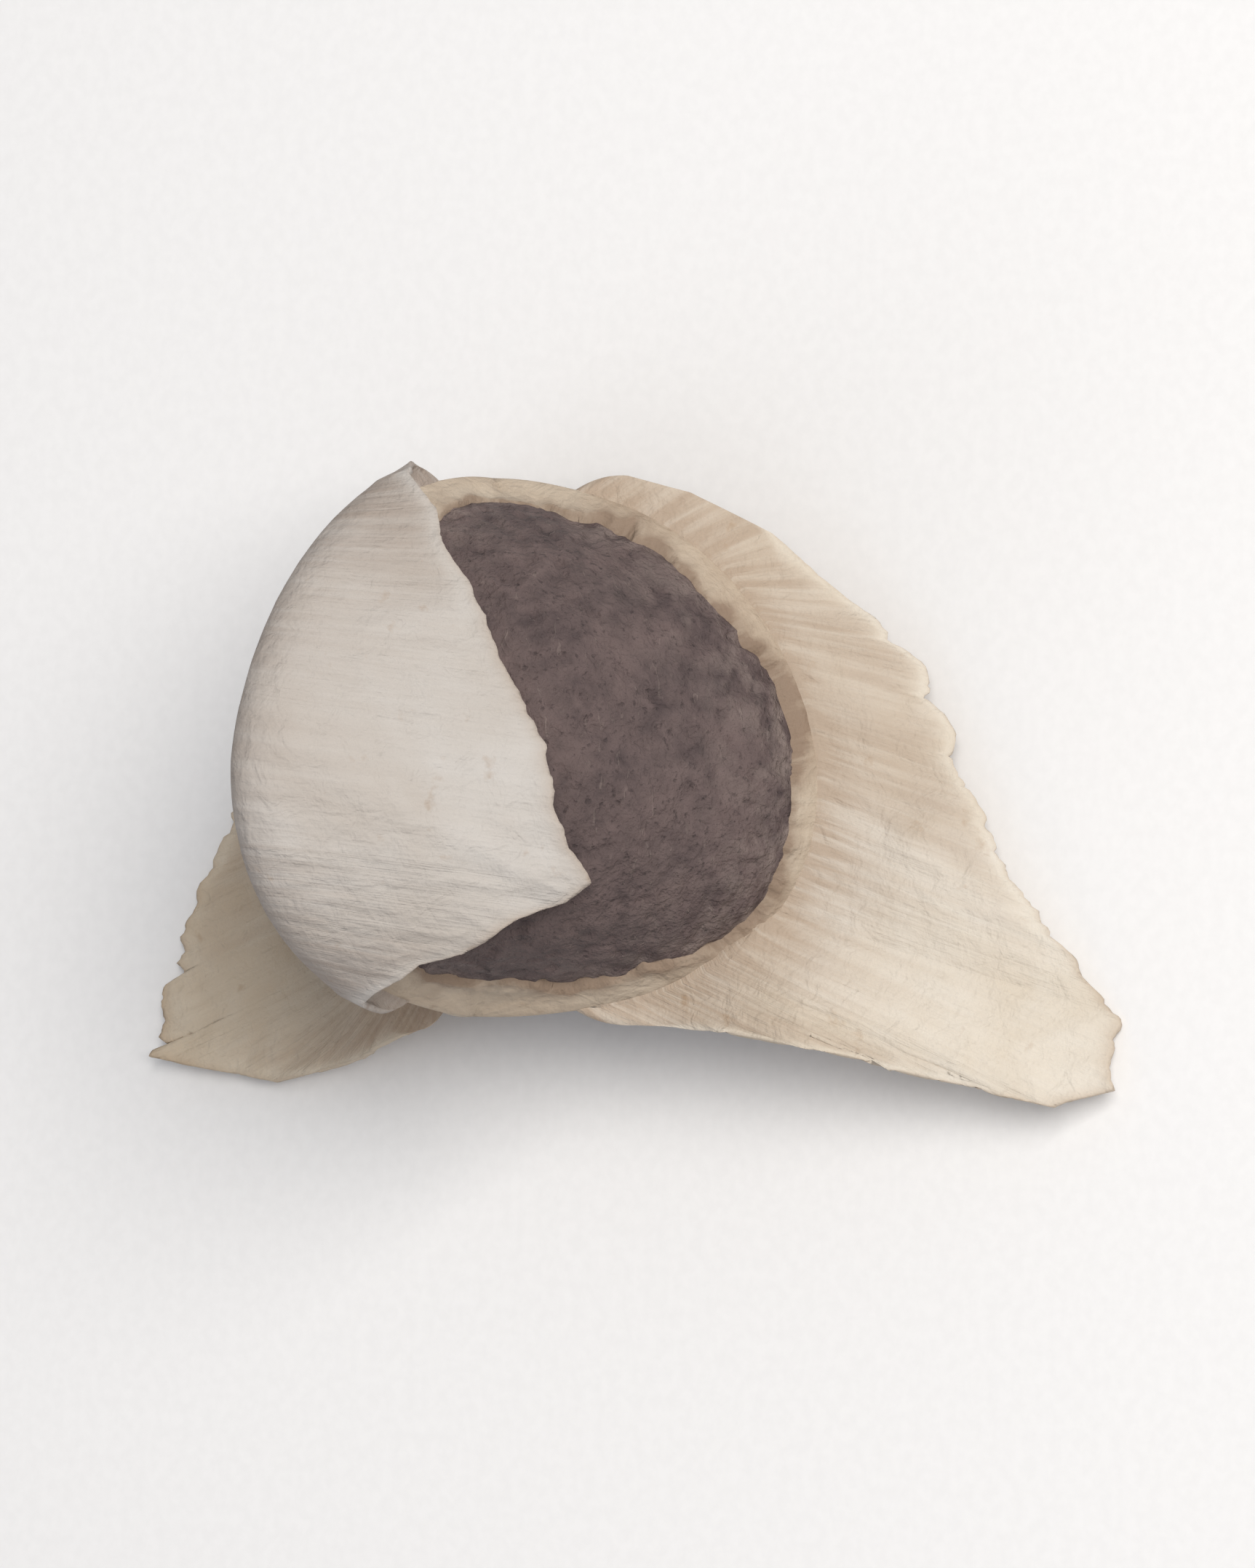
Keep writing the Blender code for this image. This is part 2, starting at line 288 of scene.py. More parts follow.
# %% The height of the coat's base
SUNK = -0.14 * MM
CLING = 0.045 * MM
CREST, CREST_WIDTH, CREST_POWER, CREST_HOLD = 0.46 * MM, 0.44 * MM, 1.5, 0.6
SKIRT, CAP_REACH = 0.66 * MM, 1.05 * MM
WANDER, WANDER_SIZE = 0.6 * MM, 2.2 * MM
RAGGED, RAGGED_SIZE = 0.22 * MM, 0.5 * MM
FRINGE, FRINGE_SIZE, FRINGE_STRETCH = 0.08 * MM, 0.22 * MM, 8
ROUGH_SIZE, FINE_ROUGH_SIZE = 0.6 * MM, 0.25 * MM
GATHER, GATHER_RUN, GATHER_HEIGHT = 0.32 * MM, 1.6 * MM, 0.07 * MM
KNOT, KNOT_WIDTH = 0.12 * MM, 0.8 * MM
EDGE_SOFTNESS = 0.13 * MM


def coat_reach(bare, reach, from_pole, third):
    """How far inside the coat's ragged edge each point lies. It is negative where the hull is bare."""
    fringe = stacked(bare[..., 0], reach / FRINGE_STRETCH, third * HULL_LENGTH)
    ragged = WANDER * lumps(bare, WANDER_SIZE, seed=11) + RAGGED * lumps(bare, RAGGED_SIZE, seed=12)
    ragged += FRINGE * lumps(fringe, FRINGE_SIZE, seed=13, octaves=3)
    return np.maximum(SKIRT + ragged - reach, CAP_REACH + ragged - from_pole)


def base_height(bare, inside, reach, from_pole):
    """How high the coat lies over the hull's skin. It dips below the skin where there is no coat."""
    crest = np.exp(-((reach / CREST_WIDTH) ** CREST_POWER))
    cover = np.maximum(smooth_step(inside / EDGE_SOFTNESS + 0.5), smooth_step(2 * crest - CREST_HOLD))
    height = CREST * crest + KNOT * np.exp(-((from_pole / KNOT_WIDTH) ** 2))
    rough = ridges(bare, ROUGH_SIZE, seed=14) + 0.5 * ridges(bare, FINE_ROUGH_SIZE, seed=15)
    height += CLING * (1 + (1 - crest) * rough)
    gathered = stacked(bare[..., 0] / GATHER, reach / GATHER_RUN, from_pole / GATHER_RUN)
    height += GATHER_HEIGHT * (1 - crest) * ridges(gathered, 1.0, seed=16)
    return SUNK + cover * (height - SUNK)


print("the coat stands", round((CREST + CLING) / MM, 2), "mm over a keel")

# %% [markdown]
# From a height to a closed skin
# The base needs an outer face, an inner face below the hull's skin, and a rim that joins them. A Solidify
# modifier could add them, but its inner face would repeat every lump of the outer one, and ours has to lie
# evenly below the hull's skin. The rim runs along every side of a cell that has no neighbour, which NumPy
# finds by counting how often each side is used. The marks make the fibres fan out from the keels, and the
# tissue tan where it thins out at its torn edge.

# %% Close the coat's base
BASE_GRID = (300, 400)
KEPT_ABOVE, INNER_FACE = 0.8 * SUNK, 1.6 * SUNK
THIN_EDGE, LEAST_STAIN = 0.22 * MM, 0.1
FIBRE_FAN = 1.2


def make_coat_base():
    latitudes, angles = globe_grid(BASE_GRID)
    bare = hull_point(latitudes, angles)
    reach = np.abs(from_nearest_keel(angles)) * from_axis(bare)
    from_pole = HALF_LENGTH * (math.pi / 2 - np.abs(latitudes)) + 0 * angles
    inside = coat_reach(bare, reach, from_pole, np.round((angles - FRONT_KEEL) / THIRD * 2))
    height = base_height(bare, inside, reach, from_pole)
    outer = to_world(over_hull(latitudes, angles, height))
    inner = to_world(over_hull(latitudes, angles, np.full(height.shape, INNER_FACE)))
    seen = height > KEPT_ABOVE
    kept = seen[:-1, :-1] | seen[1:, :-1] | seen[:-1, 1:] | seen[1:, 1:]
    index = np.arange(height.size).reshape(height.shape)
    cells = grid_faces(index)[kept.ravel()]
    sides = np.concatenate([cells[:, [start, (start + 1) % 4]] for start in range(4)])
    ordered, uses = np.unique(np.sort(sides, axis=1), axis=0, return_counts=True)
    start, end = ordered[uses == 1].T
    rim = np.stack([start, end, end + height.size, start + height.size], axis=-1)
    points = np.concatenate([outer.reshape(-1, 3), inner.reshape(-1, 3)])
    points[:, 2] = np.maximum(points[:, 2], 0.0)
    stain = LEAST_STAIN + (1 - LEAST_STAIN) * np.exp(-np.maximum(inside, 0.0) / THIN_EDGE)
    way = bare[..., 0] / MM + FIBRE_FAN * np.abs(angles - math.pi)
    marks = stacked(way, reach / MM, stain).reshape(-1, 3)
    faces = np.concatenate([cells, cells[:, ::-1] + height.size, rim])
    return object_from("coat_base", points, faces, np.concatenate([marks, marks]))


coat_base = make_coat_base()

# %% [markdown]
# Three wings
# Each wing is a sheet of dry tissue that leaves the hull along one keel. Its free edge is drawn as a list of
# points from the top pole, over the outer corner, to the bottom pole. From each root a ray runs out to the
# free edge, and bends on its way: by a first turn close to the root, and by a second turn over its whole
# width. The upper wing turns right over the front face, the front wing stays nearly flat, and the rear wing
# is pressed down. It has no width for its first turn, but a clearance over the floor at which it comes
# level. A cloth simulation could drape a sheet too, but rays keep each wing where the solid is.

# %% Each wing's outline and turns
# A point of an outline has its root's latitude in degrees, then its distance from the axis and its place
# along the axis in millimetres.
FRONT_OUTLINE = (
    (84, 1.3, 5.8), (74, 2.8, 5.7), (62, 4.1, 5.4), (47, 5.8, 4.6), (26, 9.2, 1.9), (6, 9.8, -0.2),
    (-12, 11.2, -2.5), (-33, 13.6, -5.3), (-43, 13.3, -6.8), (-49, 12.2, -7.2), (-55, 9.8, -6.7),
    (-61, 7.5, -6.2), (-68, 5.1, -5.8), (-76, 3.4, -5.7), (-84, 1.6, -5.8),
)
UPPER_OUTLINE = (
    (84, 1.3, 5.8), (74, 2.8, 5.7), (63, 4.6, 5.4), (50, 7.4, 4.6), (27, 11.5, 2.4), (4, 14.7, -0.3),
    (-26, 15.7, -3.0), (-42, 11.8, -4.3), (-54, 8.2, -5.1), (-66, 5.1, -5.6), (-76, 3.1, -5.7),
    (-84, 1.6, -5.8),
)
REAR_OUTLINE = (
    (84, 1.3, 5.8), (74, 2.8, 5.7), (62, 4.2, 5.4), (48, 6.0, 4.5), (26, 9.4, 1.7), (0, 10.9, -1.4),
    (-24, 12.4, -4.4), (-40, 12.7, -6.3), (-52, 9.5, -6.8), (-60, 7.0, -6.4), (-68, 5.0, -6.0),
    (-76, 3.4, -5.8), (-84, 1.6, -5.8),
)
FRONT_WING = {
    "name": "front_wing", "seed": 21, "keel": FRONT_KEEL, "outline": FRONT_OUTLINE, "width": 7.2 * MM,
    "first_turn": math.radians(3.4), "bend_width": 2.0 * MM, "clearance": None,
    "second_turn": math.radians(-9.0), "ripple": 0.22 * MM, "waves": 2.5, "fold": math.radians(24.0),
    "creases": 20, "crease_depth": 0.16 * MM, "tears": 9, "nick": 0.09 * MM, "rests": True,
}
UPPER_WING = {
    "name": "upper_wing", "seed": 31, "keel": UPPER_KEEL, "outline": UPPER_OUTLINE, "width": 9.0 * MM,
    "first_turn": math.radians(-136.0), "bend_width": 2.3 * MM, "clearance": None,
    "second_turn": math.radians(-12.0), "ripple": 0.12 * MM, "waves": 1.6, "fold": 0.0,
    "creases": 12, "crease_depth": 0.09 * MM, "tears": 2, "nick": 0.02 * MM, "rests": False,
}
REAR_WING = {
    "name": "rear_wing", "seed": 41, "keel": REAR_KEEL, "outline": REAR_OUTLINE, "width": 6.8 * MM,
    "first_turn": math.radians(-38.0), "bend_width": None, "clearance": 0.16 * MM,
    "second_turn": math.radians(-8.0), "ripple": 0.15 * MM, "waves": 2.2, "fold": 0.0,
    "creases": 22, "crease_depth": 0.18 * MM, "tears": 10, "nick": 0.09 * MM, "rests": True,
}
WINGS = (FRONT_WING, UPPER_WING, REAR_WING)
for wing in WINGS:
    print(wing["name"], "is drawn by", len(wing["outline"]), "points")

# %% [markdown]
# A torn free edge
# The free edge is thin, and it tears. It wanders a little on a scale of millimetres, is frayed and nicked
# on a scale of tenths, and has a few small V-shaped tears. All of that is added to the length of the rays.
# Because the rays are close together, even a narrow tear is real geometry. A ray can only fray an edge that
# it meets squarely, so the fraying fades where the edge runs beside the rays.

# %% Rays of a wing
RAY_COUNT, STEP_COUNT = 440, 84
RAYS_PER_POINT = 3
EDGE_WANDER, WANDER_PACE, FAST_WANDER_PACE = 0.2 * MM, 2.4, 5.3
FRAY, FRAY_SIZE = 0.07 * MM, 0.5 * MM
NICK_SIZE = 0.45 * MM
TEAR_DEPTH, TEAR_WIDTH = (0.15 * MM, 0.5 * MM), (0.15 * MM, 0.4 * MM)
TEAR_RANGE = (0.15, 0.85)
SQUARE_START = 0.5


def edge_length(out, along):
    """Length along the free edge from its first point to each of its points."""
    steps = np.hypot(np.diff(out), np.diff(along))
    return np.concatenate([[0.0], np.cumsum(steps)])


def tears(length, count, draw):
    """Depth of a few V-shaped tears along the free edge."""
    depth = np.zeros_like(length)
    for _ in range(count):
        centre = draw.uniform(*TEAR_RANGE) * length[-1]
        deepest, half_width = draw.uniform(*TEAR_DEPTH), draw.uniform(*TEAR_WIDTH)
        depth = np.maximum(depth, deepest * np.clip(1 - np.abs(length - centre) / half_width, 0.0, 1.0))
    return depth


def wing_rays(wing, draw):
    """Root latitude, edge distance and edge place of each ray, its number, and the length along the edge."""
    outline = np.array(wing["outline"])
    number = np.linspace(0, RAYS_PER_POINT * (len(outline) - 1), RAY_COUNT)
    stations = np.arange(len(outline))
    latitude, out, along = (np.interp(number / RAYS_PER_POINT, stations, column) for column in outline.T)
    out, along = out * MM, along * MM
    length = edge_length(out, along)
    wide = smooth_step((out - HALF_LENGTH) / HALF_LENGTH)
    # The solid has a ray at each whole number, and its free edge wanders in the same way.
    whole = np.arange(number[-1] + 1)
    whole_out = np.interp(whole, number, out)
    wander = (np.sin(WANDER_PACE * whole) + np.sin(FAST_WANDER_PACE * whole + whole_out / MM)) / 2
    out = out + wide * EDGE_WANDER * np.interp(number, whole, wander)
    square = np.abs(np.gradient(along)) / np.hypot(np.gradient(out), np.gradient(along))
    wide = wide * smooth_step(2 * square - SQUARE_START)
    edge_points = place(length, 0.0, 0.0)
    out += wide * FRAY * lumps(edge_points, FRAY_SIZE, wing["seed"], octaves=4)
    out -= wide * wing["nick"] * smooth_step(2 * ridges(edge_points, NICK_SIZE, wing["seed"] + 4) - 1)
    out -= wide * tears(length, wing["tears"], draw)
    return np.radians(latitude), out, along, number, length


for wing in WINGS:
    _, out, along = np.array(wing["outline"]).T
    print(wing["name"], "has a free edge of", round(float(edge_length(out, along)[-1]), 1), "mm")

# %% [markdown]
# Creases and pleats
# Dry paper doesn't bulge, it creases. A crease is a straight line with a sharp top and two straight flanks,
# so its height falls evenly with the distance to the line. A dozen or two of them at random give flat facets
# between sharp lines. Pleats are different: they run out from the root like the folds of a fan, so they are
# noise that is stretched along the rays. The front wing also has one strong fold, which the solid has too:
# the paper below it is raised, and that is the facet that catches the light.

# %% Relief across a wing
CREASE_ROUND = 0.05 * MM
CREASE_FLANK = (0.5 * MM, 2.0 * MM)
CREASE_RUN = (2.0 * MM, 6.0 * MM)
CREASE_SWING = math.radians(50.0)
CREASE_SPREAD, LEAST_CREASE = 0.8, 0.4
FOLD_START = np.array([6.4, -3.3]) * MM
FOLD_END = np.array([13.6, -5.3]) * MM
FOLD_FADE = 3.6 * MM
PLEAT, PLEAT_RUN, PLEAT_HEIGHT = 1.5 * MM, 4.0 * MM, 0.05 * MM
CRINKLE, CRINKLE_HEIGHT = 1.1 * MM, 0.06 * MM
CURL, CURL_RUN, CURL_WIDTH = 0.2 * MM, 2.6 * MM, 1.0 * MM
RIPPLE_RISE = 1.5


def below_fold(out, along):
    """How far a point of the flat front wing lies below its strong fold, fading out towards the axis."""
    run = FOLD_END - FOLD_START
    distance = (run[1] * (out - FOLD_START[0]) - run[0] * (along - FOLD_START[1])) / np.hypot(*run)
    return np.maximum(0.0, distance) * smooth_step((out - FOLD_FADE) / FOLD_FADE)


def random_creases(out, along, wing, draw):
    """Height of a number of straight creases at random places, mostly running outwards."""
    height = np.zeros_like(out)
    for _ in range(wing["creases"]):
        middle_out = draw.uniform(HALF_LENGTH, out.max())
        middle_along = draw.uniform(along.min(), along.max()) * CREASE_SPREAD
        swing = draw.uniform(-CREASE_SWING, CREASE_SWING)
        run, flank = draw.uniform(*CREASE_RUN), draw.uniform(*CREASE_FLANK)
        depth = wing["crease_depth"] * draw.choice((-1, 1)) * draw.uniform(LEAST_CREASE, 1.0)
        step_out, step_along = out - middle_out, along - middle_along
        lengthways = step_out * math.cos(swing) + step_along * math.sin(swing)
        sideways = step_along * math.cos(swing) - step_out * math.sin(swing)
        ends = smooth_step(2 - 2 * np.abs(lengthways) / run)
        height += depth * ends * np.maximum(0.0, 1 - np.hypot(sideways, CREASE_ROUND) / flank)
    return height


def fine_relief(length, travelled, share, wing):
    """Pleats that fan out from the root, small crinkles, and a free edge that curls here and there."""
    curl = CURL * lumps(place(length[:, :1], 0.0, 0.0), CURL_RUN, wing["seed"] + 3)
    curled = curl * smooth_step(1 - (travelled[:, -1:] - travelled) / CURL_WIDTH) ** 2
    pleated = np.stack([length / PLEAT, travelled / PLEAT_RUN, 0 * length], axis=-1)
    crinkled = np.stack([length, travelled, 0 * length], axis=-1)
    height = curled + PLEAT_HEIGHT * share * lumps(pleated, 1.0, wing["seed"] + 1, octaves=2)
    return height + CRINKLE_HEIGHT * np.sqrt(share) * ridges(crinkled, CRINKLE, wing["seed"] + 2)


_, out, along = np.array(FRONT_OUTLINE).T * MM
fold_rise = math.tan(FRONT_WING["fold"]) * below_fold(out, along).max()
print("the fold raises the front wing by up to", round(float(fold_rise / MM), 2), "mm")

# %% [markdown]
# The way of a ray
# A ray is walked in small steps. At each step its direction has turned a little more, and the steps add up
# to a smooth curve, like the track of a cart whose wheel is turned. NumPy's cumulative sum does the walk for
# all rays at once. Near both poles the rays shrink almost to nothing, so that the wing dies away into the
# coat. There the hull is slender too, so the bend beside the root is narrower.

# %% Walk the rays
ROOT_HEIGHT = 0.52 * MM
LEAST_BEND = 0.45
END_RAYS, LEAST_GROWN = 3.0, 0.04


def rooted(wing, latitude, edge_out, edge_along, number):
    """The root of each ray, and where it ends. Near both poles the rays shrink almost to nothing."""
    from_end = np.minimum(number, number[-1] - number)
    grown = np.maximum(smooth_step(from_end / END_RAYS), LEAST_GROWN)
    root = over_hull(latitude, wing["keel"], CLING + (ROOT_HEIGHT - CLING) * grown)
    root_out = from_axis(root)
    return root, root_out + (edge_out - root_out) * grown, root[:, 0] + (edge_along - root[:, 0]) * grown


def bend_width(wing, root):
    """Width of the bend beside a wing's root. A wing that is pressed down comes level over the surface."""
    if wing["clearance"] is None:
        return wing["bend_width"] * np.maximum(from_axis(root) / KEEL_RADIUS, LEAST_BEND)
    surface = (root[:, 0] * math.sin(PITCH) - AXIS_HEIGHT) / math.cos(PITCH)
    drop = root[:, 2] - surface - wing["clearance"]
    return drop / (1 - math.cos(wing["first_turn"])) * abs(wing["first_turn"])


def walked(wing, root, reach, travelled):
    """The front and the height of each point of the rays, and the direction in which its ray goes there."""
    angle = wing["keel"] + wing["second_turn"] * travelled / wing["width"]
    angle += wing["first_turn"] * smooth_step(travelled / bend_width(wing, root)[:, None])
    pace = reach / (STEP_COUNT - 1)
    front = np.cumsum(pace * np.cos(angle), axis=1) - pace * np.cos(angle[:, :1]) - root[:, 1:2]
    height = np.cumsum(pace * np.sin(angle), axis=1) - pace * np.sin(angle[:, :1]) + root[:, 2:3]
    return front, height, angle


print("each wing is walked along", RAY_COUNT, "rays in", STEP_COUNT - 1, "steps")

# %% [markdown]
# A sheet laid down
# The walk gives a smooth sheet. Ripples, the fold and the fine relief are then added at right angles to each
# ray, and they fade in from the root, so that the root stays in the coat's crest. A sheet this thin sags
# until it touches what it lies over. We could let a cloth simulation find that, but here it is enough to
# lower the outer part of a wing that rests by the gap that is left. Each ray gets one more point inside the
# hull, so that no gap shows at the root.

# %% From rays to a sheet
PAPER = 0.11 * MM
FLOOR_GAP = 0.01 * MM
RELIEF_START = 2.0 * MM


def laid_down(wing, sheet, share):
    """Lowers the outer part of a wing that rests until it touches the floor, and keeps all wings over it."""
    lowest = PAPER / 2 + FLOOR_GAP
    if wing["rests"]:
        sheet[..., 2] -= max(0.0, sheet[..., 2].min() - lowest) * share ** 2
    sheet[..., 2] = np.maximum(sheet[..., 2], lowest)
    return sheet


def wing_sheet(wing, draw):
    """The middle surface of a wing in the world, with its length and its way from the root at each point."""
    latitude, edge_out, edge_along, number, length = wing_rays(wing, draw)
    root, edge_out, edge_along = rooted(wing, latitude, edge_out, edge_along, number)
    share = np.linspace(0, 1, STEP_COUNT)[None, :] + 0 * length[:, None]
    reach = (edge_out - from_axis(root))[:, None]
    travelled = np.abs(reach) * share
    front, height, angle = walked(wing, root, reach, travelled)
    along = root[:, :1] + (edge_along[:, None] - root[:, :1]) * share
    out = from_axis(root)[:, None] + reach * share
    lengths = length[:, None] + 0 * share
    wave = np.sin(2 * math.pi * wing["waves"] * number / number[-1])[:, None]
    relief = random_creases(out, along, wing, draw) + fine_relief(lengths, travelled, share, wing)
    raised = wing["ripple"] * wave * share ** RIPPLE_RISE + math.tan(wing["fold"]) * below_fold(out, along)
    raised += smooth_step(travelled / RELIEF_START) * relief
    sheet = np.stack([along, -front + raised * np.sin(angle), height + raised * np.cos(angle)], axis=-1)
    sheet = laid_down(wing, to_world(sheet), share)
    inside = to_world(over_hull(latitude, wing["keel"], np.full(RAY_COUNT, SUNK)))[:, None]
    return np.concatenate([inside, sheet], axis=1), lengths, travelled


print("each wing is a sheet of", RAY_COUNT * (STEP_COUNT + 1), "points")

# %% [markdown]
# Two faces and a rim
# So far a wing is a surface without thickness, and a real sheet has two faces and an edge that can be seen.
# A Solidify modifier would need a vertex group to vary the thickness, and we have it as an array anyway. So
# each point is moved both ways along the sheet's own normal, and a rim is laid round the two faces. NumPy
# finds the normal from how the points change down and across the grid.

# %% Close a sheet


def sheet_normals(sheet):
    normals = np.cross(np.gradient(sheet, axis=0), np.gradient(sheet, axis=1))
    return normals / np.linalg.norm(normals, axis=-1, keepdims=True)


def closed_sheet(name, sheet, thickness, marks):
    """Two faces round a middle surface, joined by a rim."""
    half = sheet_normals(sheet) * thickness[..., None] / 2
    points = np.concatenate([(sheet + half).reshape(-1, 3), (sheet - half).reshape(-1, 3)])
    points[:, 2] = np.maximum(points[:, 2], 0.0)
    index = np.arange(sheet.shape[0] * sheet.shape[1]).reshape(sheet.shape[:2])
    around = np.concatenate([index[0], index[1:, -1], index[-1, -2::-1], index[-2:0:-1, 0]])
    after, other = np.roll(around, -1), index.size
    rim = np.stack([around, after, after + other, around + other], axis=-1)
    faces = np.concatenate([grid_faces(index), grid_faces(index)[:, ::-1] + other, rim])
    marks = marks.reshape(-1, 3)
    return object_from(name, points, faces, np.concatenate([marks, marks]))


print("the rim of a wing has", 2 * (RAY_COUNT + STEP_COUNT - 1), "faces")

# %% [markdown]
# Thickness and marks
# Real wings are about a tenth of a millimetre thick, and thicker at the root, where they are spongy. Near
# the poles our sheet turns so sharply that two faces far apart would cross, so it stays thin there. The
# blades of the construction model are thicker than life, because a blade that is printed or simulated has
# to be. The third mark says how tanned the paper is: near 1 at the root, and negative along the torn rim,
# where the broken fibres look a shade darker.

# %% Make the wings
ROOT_PAPER, ROOT_TAPER, POLE_TAPER = 0.34 * MM, 0.6 * MM, 5.0 * MM
STAIN_REACH, ROOT_TAN = 1.7 * MM, 0.85
POLE_STAIN, POLE_START, POLE_TAN = 5.0 * MM, 1.4, 0.6
RIM_WIDTH, RIM_START = 0.22 * MM, 4


def paper_thickness(sheet, lengths):
    """Thickness of the paper at each point but the one inside the hull."""
    from_root = np.linalg.norm(sheet[:, 1:] - sheet[:, 1:2], axis=-1)
    spongy = smooth_step(np.minimum(lengths, lengths[-1] - lengths) / POLE_TAPER)
    return PAPER + (ROOT_PAPER - PAPER) * spongy * np.exp(-from_root / ROOT_TAPER)


def paper_tan(travelled):
    """How tanned the paper is, from how far each point is from its root. Short rays are tan all over."""
    width = travelled[:, -1:]
    tan = np.exp(-travelled / STAIN_REACH) * ROOT_TAN
    tan = np.maximum(tan, smooth_step(POLE_START - width / POLE_STAIN) * POLE_TAN)
    return tan - np.exp(-(width - travelled) / RIM_WIDTH) * smooth_step(travelled / RIM_WIDTH - RIM_START)


def with_inside(values):
    """Gives the point inside the hull the value of its ray's root."""
    return np.concatenate([values[:, :1], values], axis=1)


def make_wing(wing):
    sheet, lengths, travelled = wing_sheet(wing, random.Random(wing["seed"]))
    marks = stacked(lengths / MM, travelled / MM, paper_tan(travelled))
    thickness = paper_thickness(sheet, lengths)
    return closed_sheet(wing["name"], sheet, with_inside(thickness), with_inside(marks))


front_wing, upper_wing, rear_wing = (make_wing(wing) for wing in WINGS)

# %% [markdown]
# Colours and nodes
# Colours are read off a picture as sRGB hex values, as any paint program shows them. Blender's shaders work
# in linear light, so one function turns them over, by the curve of the sRGB standard. A second small
# function adds a node with its settings and its links in one call, which keeps a material's recipe short
# enough to read.

# %% Two helpers for materials
TOE_END, TOE_SLOPE, CURVE_SHIFT, CURVE_POWER = 0.04045, 12.92, 0.055, 2.4


def linear(hex_colour):
    """Linear RGBA from an sRGB hex value such as 'c8b7a3'."""
    light = []
    for start in (0, 2, 4):
        part = int(hex_colour[start:start + 2], 16) / 255
        curved = ((part + CURVE_SHIFT) / (1 + CURVE_SHIFT)) ** CURVE_POWER
        light.append(part / TOE_SLOPE if part <= TOE_END else curved)
    return (*light, 1.0)


def add_node(tree, kind, inputs=None, **settings):
    """Adds a node. An input is given a value, or an output socket of another node to link from."""
    node = tree.nodes.new("ShaderNode" + kind)
    for name, value in settings.items():
        setattr(node, name, value)
    for name, value in (inputs or {}).items():
        if isinstance(value, bpy.types.NodeSocket):
            tree.links.new(value, node.inputs[name])
        else:
            node.inputs[name].default_value = value
    return node


print("cream in linear light:", [round(part, 3) for part in linear("dccfbf")[:3]])

# %% [markdown]
# Patterns measured in millimetres
# A noise texture counts its lumps per unit of length, and a seed's metre is far too long a unit. So the
# coordinates are first turned to millimetres, and a pattern's scale is then one over the size of its
# lumps. A helper makes each noise and spreads its values, which lie in a narrow band, over 0 to 1. A Mix
# node has sockets of the same name for each kind of data, so those for colours are found by their number.

# %% Noise of a given size
FIRST_COLOUR, SECOND_COLOUR, MIXED_COLOUR = 6, 7, 2


def start_material(name):
    material = bpy.data.materials.new(name)
    material.use_nodes = True
    material.node_tree.nodes.clear()
    return material, material.node_tree


def in_millimetres(tree):
    coordinates = add_node(tree, "TexCoord")
    return add_node(tree, "VectorMath", {0: coordinates.outputs["Object"], "Scale": 1 / MM},
                    operation="SCALE").outputs["Vector"]


def pattern(tree, coordinates, size, low=0.35, high=0.65, detail=3.0, distortion=0.0):
    """A value from 0 to 1 that varies in lumps of a size in millimetres, or of a size along each axis."""
    sizes = size if isinstance(size, tuple) else (size, size, size)
    scaled = add_node(tree, "VectorMath", {0: coordinates, 1: [1 / side for side in sizes]},
                      operation="MULTIPLY")
    lumpy = add_node(tree, "TexNoise", {"Vector": scaled.outputs["Vector"], "Scale": 1.0, "Detail": detail,
                                        "Roughness": 0.55, "Distortion": distortion})
    spread = add_node(tree, "MapRange", {"Value": lumpy.outputs[0], "From Min": low, "From Max": high})
    return spread.outputs["Result"]


def blend(tree, factor, first, second, kind="MIX", strength=1.0):
    """Mixes two colours by a pattern. A strength under 1 weakens the pattern."""
    if strength != 1.0:
        factor = add_node(tree, "Math", {0: factor, 1: strength}, operation="MULTIPLY").outputs[0]
    mix = add_node(tree, "Mix", {"Factor": factor}, data_type="RGBA", blend_type=kind)
    for number, colour in ((FIRST_COLOUR, first), (SECOND_COLOUR, second)):
        if isinstance(colour, bpy.types.NodeSocket):
            tree.links.new(colour, mix.inputs[number])
        else:
            mix.inputs[number].default_value = linear(colour)
    return mix.outputs[MIXED_COLOUR]


def summed(tree, *heights):
    """Adds heights that are each given as a pattern and the weight that it has."""
    total = None
    for value, weight in heights:
        inputs = {0: value, 1: weight, 2: total if total is not None else 0.0}
        total = add_node(tree, "Math", inputs, operation="MULTIPLY_ADD").outputs[0]
    return total


print("a texture's unit of length is made", round(1 / MM), "times shorter")

# %% [markdown]
# The hull's finish: dry, lignified seed coat
# The hull is a thin, woody skin that dried in the pod. It is dull, with no polish at all, and its brown has
# a mauve cast from dust and from bits of paper tissue that cling to it. That gives the eye a soft, dark mass
# with hardly a highlight. It is mottled on a scale of a millimetre, speckled on a scale of tenths, and
# paler close to the keels. Dry plant tissue has an IOR of about 1.45. Its grain is finer than 0.1 mm, which
# would not show, so it is drawn at 0.12 mm.

# %% Dry hull
HULL_BROWN, HULL_DARK, HULL_PALE = "5b4d4b", "443939", "6e5f5d"
HULL_FUZZ, HULL_SPECK = "958780", "302829"
HULL_ROUGHNESS = (0.7, 0.9)
HULL_RELIEF = 0.045 * MM
DRY_TISSUE_IOR = 1.45


